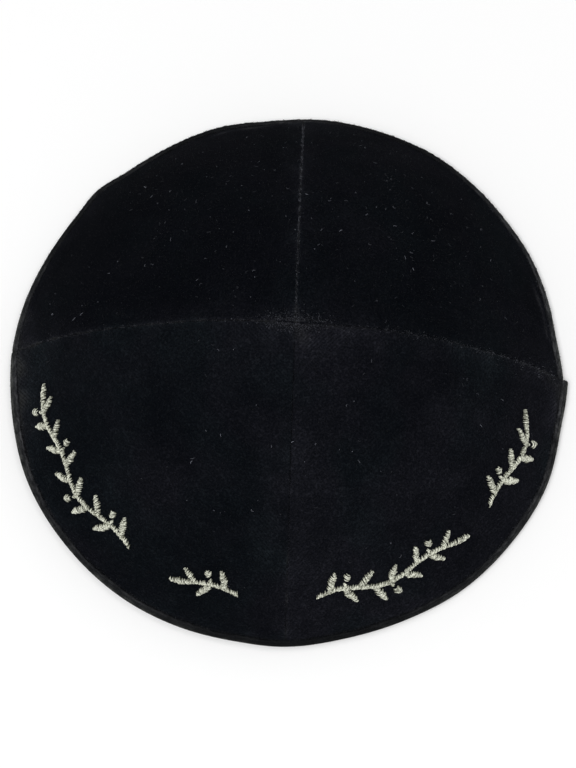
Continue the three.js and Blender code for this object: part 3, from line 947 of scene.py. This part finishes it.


# Silver-grey thread: a warm pale grey over khaki, each thread a little lighter or darker, with painted glints
# and painted shade in the turns of its twist, and painted shade where its ends dive into the pile.
def threadMaterial():
    kit = Kit("silver thread")
    shade = kit.own("shade")
    along = kit.own("along")
    twistAndGlints = kit.band(kit.noise(0.45, 1.0), 0.4, 0.6)
    # Painted shade: each stitch darkens towards both ends, where it dives into the pile.
    ends = kit.band(along, 0.0, 0.2) * (1 - kit.band(along, 0.8, 1.0))
    light = (shade * 0.42 + twistAndGlints * 0.62) * (ends * 0.8 + 0.2)
    return kit.finish(
        Base_Color=kit.blend(light, (0.1, 0.102, 0.064), (0.9, 0.915, 0.775)),
        Roughness=0.38,
        Specular_IOR_Level=0.6,
        Normal=kit.bump(twistAndGlints, 0.5, 0.1),
    )


# Each branch is one piece: its stem's, leaves' and berries' stitches.
def embroidery(material):
    rng = np.random.default_rng(71)
    for name, branch in branches.items():
        parts = [stemStitches(branch, rng)]
        for stroke in branch["plan"]["strokes"]:
            if stroke["kind"] == "leaf":
                parts.append(leafStitches(branch, stroke, rng))
            else:
                parts.extend(berryStitches(branch, stroke, rng))
        points, faces, numbers = joined(parts)
        label = name.replace("embroidered", "satin")
        piece = makePiece(label, points, faces, [material], numbers)
        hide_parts(name)


# The bound rim

binding = {
    "steps": 760,
    "gather": 0.07,         # small gathers across the fold
    "gatherLength": 2.3,
    "scallop": 0.1,         # how far each stitch pulls the lip in
    "waver": 0.22,          # how unevenly wide the lip is
    "roundEnd": 1.1,        # the length over which each end is drawn in
    "fuzz": 7000,           # fibres on one length of binding
}
# The fold's section, counter-clockwise from the top of its outer lip, with a ridge at the lip, a valley where
# the stitches pull it in, and a wider ridge at the outside. Columns: the share of the lip's width and the
# millimetres that add up to the height over the velvet's edge, how far out from it, and how worn, where the
# outermost rows also carry painted sheen.
foldRows = np.array([
    (1, -0.1, -0.18, 0.25), (1, 0.16, -0.02, 0.4), (1, 0.15, 0.2, 0.7), (1, -0.1, 0.45, 1),
    (1, -0.4, 0.52, 0.8), (0.64, -0.05, 0.5, 0.6), (0.52, -0.05, 0.53, 0.65), (0.34, 0, 0.8, 1),
    (0.12, 0, 0.9, 1.35), (0, -0.12, 0.82, 1.6), (0, -0.6, 0.57, 1.2), (0, -1, 0.1, 0.3),
    (0, -1.1, -0.5, 0.1), (0, -1, -1.02, 0.1), (0, -0.6, -1.63, 0.1), (0, 0, -1.87, 0.1),
    (0, 1.08, -1.87, 0.1), (0, 1.8, -1.69, 0.1), (0, 1.85, -1.37, 0.1), (0, 0.6, -1.27, 0.1),
    (0, -0.35, -0.63, 0.1), (0, -0.35, 0.06, 0.1), (0, 0.7, 0.04, 0.1),
])


# The binding on two gores. At each station along the velvet's edge the section's heights run up the dome and
# its widths straight out of it, and both are drawn in at the two ends.
def rimBinding(name, rimGores, materials, node):
    steps = binding["steps"]
    azimuth = np.linspace(goreSpan(rimGores[0])[0], goreSpan(rimGores[1])[1], steps + 1)
    edge, up = np.zeros((2, steps + 1, 3))
    for gore in rimGores:
        start, end = goreSpan(gore)
        pick = (azimuth >= start - 1e-9) & (azimuth <= end + 1e-9)
        here = azimuth[pick]
        edge[pick] = domePoint(gore, here, np.ones(len(here)))
        up[pick] = domePoint(gore, here, np.full(len(here), 0.985))
    forward = unit(np.gradient(edge, axis=0))
    up = up - edge
    up = unit(up - (up * forward).sum(axis=-1)[:, None] * forward)
    off = -unit(np.cross(up, forward))
    off *= np.sign((off[:, :2] * edge[:, :2]).sum(axis=-1))[:, None]
    length = np.concatenate([[0], np.cumsum(np.linalg.norm(np.diff(edge, axis=0), axis=1))])
    wobble = binding["scallop"] * np.cos(2 * np.pi * length / cloth["stitch"] + lumps(edge, 30, 41))
    lip = tableCurve(lipWidth, azimuth) + wobble
    lip = lip + binding["waver"] * lumps(edge, 14, 42) + 0.1 * lumps(edge, 4, 46)
    share, along, out, wearAndSheen = foldRows.T
    toEnd = np.minimum(length, length[-1] - length) / binding["roundEnd"]
    drawnIn = 0.55 + 0.45 * np.sqrt(1 - (1 - np.clip(toEnd, 0, 1)) ** 2)
    height = share * lip[:, None] * drawnIn[:, None] + along
    ripple = np.sin(2 * np.pi * length / binding["gatherLength"] + 1.5 * lumps(edge, 11, 43))
    gather = binding["gather"] * (ripple + lumps(edge, 3.5, 44))
    outside = (out > 0.4) * (share > 0)
    proud = np.where(out > 0, out * drawnIn[:, None], out) + gather[:, None] * outside
    points = edge[:, None] + height[..., None] * up[:, None] + proud[..., None] * off[:, None]
    points[..., 2] = np.maximum(points[..., 2], 0.02)
    n = len(foldRows)
    number = np.arange((steps + 1) * n).reshape(steps + 1, n)
    closed = np.concatenate([number, number[:, :1]], axis=1)
    faces = gridFaces(closed).tolist() + [number[0].tolist(), number[-1, ::-1].tolist()]
    uneven = 0.9 + 0.2 * lumps(edge, 9, 45) + 0.2 * lumps(edge, 4, 47)
    bright = np.clip(tableCurve(rimWearAndSheen, azimuth), 0, 2) * uneven
    around = np.concatenate([[0], np.cumsum(np.hypot(np.diff(share * 2 + along), np.diff(out)))])
    patchy = np.where(share > 0.6, lumps(edge, 5, 48)[:, None], lumps(edge, 6, 49)[:, None])
    numbers = {
        "wearAndSheen": bright[:, None] * wearAndSheen * np.clip(1 + 0.4 * patchy, 0.2, 2),
        "run": np.repeat(length, n),
        "across": np.tile(around, steps + 1),
        "outward": np.tile(np.clip(1 - share * 1.4, 0, 1), steps + 1),
    }
    piece = makePiece(name, points.reshape(-1, 3), faces, materials[:1], numbers)
    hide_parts(node)
    rimFuzz(name.replace("bound", "fuzz"), points, off, up, bright, materials[1])


# The fold's own pile: fibres on its outer face, leaning out, up the cap and to all sides.
def rimFuzz(name, points, off, up, bright, material):
    rng = np.random.default_rng(len(name))  # so the two lengths of binding differ
    count = binding["fuzz"]
    ring = rng.integers(1, points.shape[0] - 1, count)
    row = rng.integers(1, 9, count)
    t = rng.uniform(0, 1, (count, 1))
    roots = points[ring, row] * (1 - t) + points[ring + 1, row + 1] * t
    way = off[ring] * 0.6 + up[ring] * rng.uniform(0.1, 1.1, (count, 1)) + rng.normal(0, 0.5, (count, 3))
    bend = rng.normal(0, 0.5, (count, 3))
    # The fuzz is lighter where the rim is worn and where its painted sheen lies.
    light = fibreLight(rng, count, 0.04 + 0.26 * np.clip(bright[ring], 0, 1.2))
    roots = roots - off[ring] * 0.05
    length = rng.uniform(0.25, 0.6, count)
    points, faces, numbers = fibres(roots, unit(way), bend, length, pile["radius"] * 0.9, light)
    points[:, 2] = np.maximum(points[:, 2], 0.05)
    makePiece(name, points, faces, [material], numbers)


# The binding is velvet too, crushed and brushed up in streaks where the rim is worn, with painted sheen along
# its
# outer edge: a cold grey on its inner ridge and a greenish one outside, and as dark as the gores elsewhere.
# The mesh carries how much in an attribute.
def bindingMaterial():
    kit = Kit("rim binding")
    grain = kit.band(kit.noise(0.7, 3.0), 0.38, 0.62)
    streaks = kit.band(kit.noise(0.5, 3.0, kit.strip(6)), 0.43, 0.6)
    blotches = kit.band(kit.noise(2.6, 3.0), 0.4, 0.62)
    light = kit.own("wearAndSheen") * (grain * 0.2 + streaks * 0.42 + blotches * 0.18 + 0.09) + grain * 0.04 + 0.03
    brushedAndLit = kit.blend(kit.own("outward"), (0.065, 0.066, 0.0695), (0.066, 0.069, 0.062))
    return kit.finish(
        Base_Color=kit.blend(light, (0.0035, 0.004, 0.0048), brushedAndLit),
        Roughness=0.9,
        Specular_IOR_Level=0.03,
        Normal=kit.bump(grain * 0.6 + streaks * 0.6, 0.6, 0.3),
    )


# Floor, light and camera

stageLook = {"floor": (0.93, 0.93, 0.93), "world": 0.56, "key": 10.5, "fill": 3}


# The floor's plain pale paint.
def floorMaterial():
    kit = Kit("pale floor")
    return kit.finish(Base_Color=stageLook["floor"], Roughness=0.9, Specular_IOR_Level=0.1)


# The floor is one wide square.
def buildStage():
    mesh = bpy.data.meshes.new("floor")
    size = 3.0
    corners = [(-size, -size, 0), (size, -size, 0), (size, size, 0), (-size, size, 0)]
    mesh.from_pydata(corners, [], [(0, 1, 2, 3)])
    mesh.materials.append(floorMaterial())
    floor = newObject("floor", mesh)


# A round soft lamp at a spot, turned to face the middle of the floor.
def addLight(name, power, size, spot):
    lamp = bpy.data.lights.new(name, "AREA")
    lamp.energy = power
    lamp.shape = "DISK"
    lamp.size = size
    light = newObject(name, lamp)
    light.location = spot
    light.rotation_euler = (-Vector(spot)).to_track_quat("-Z", "Y").to_euler()


# A white sky, a key lamp from the front left and a weaker one from the back right.
def buildLight():
    world = bpy.data.worlds.new("studio")
    world.use_nodes = True
    sky = world.node_tree.nodes["Background"]
    sky.inputs["Color"].default_value = (1, 1, 1, 1)
    sky.inputs["Strength"].default_value = stageLook["world"]
    bpy.context.scene.world = world
    addLight("key", stageLook["key"], 1.0, (-0.35, -0.45, 1.25))
    addLight("fill", stageLook["fill"], 1.2, (0.8, 0.6, 0.9))


# The camera looks down on the cap from over its front edge, a little to the right.
view = {"azimuth": 2.7, "elevation": 74.37, "distance": 540, "target": (0.25, -3.6, 0), "lens": 77.87}


# The camera stands at its distance from the target, along (sin a cos e, -cos a cos e, sin e).
def buildCamera():
    a, e = np.radians(view["azimuth"]), np.radians(view["elevation"])
    back = np.array([np.sin(a) * np.cos(e), -np.cos(a) * np.cos(e), np.sin(e)])
    data = bpy.data.cameras.new("camera")
    data.lens = view["lens"]
    data.sensor_width = 36
    camera = newObject("camera", data)
    camera.location = (np.array(view["target"]) + back * view["distance"]) * mm
    camera.rotation_euler = (-Vector(back)).to_track_quat("-Z", "Y").to_euler()
    bpy.context.scene.camera = camera


buildStage()
buildLight()
buildCamera()
bpy.context.scene.view_settings.view_transform = "Standard"
print("stage, light and camera made")

backing = backingMaterial()
for goreName, goreFacts in gores.items():
    velvetGore(goreName, goreFacts, [velvetMaterial(goreName, goreFacts), backing])
print("velvet gores made")

fibreLook = fibreMaterial()
for number, (goreName, goreFacts) in enumerate(gores.items()):
    gorePile(goreName, goreFacts, fibreLook, 100 + number)
print("pile made")

looks = [bindingMaterial(), fibreLook]
backGores = [gores["back_right"], gores["back_left"]]
frontGores = [gores["front_left"], gores["front_right"]]
rimBinding("bound_rim_back", backGores, looks, "back_binding")
rimBinding("bound_rim_front", frontGores, looks, "front_binding")
print("bound rim made")

embroidery(threadMaterial())
print("embroidery made")
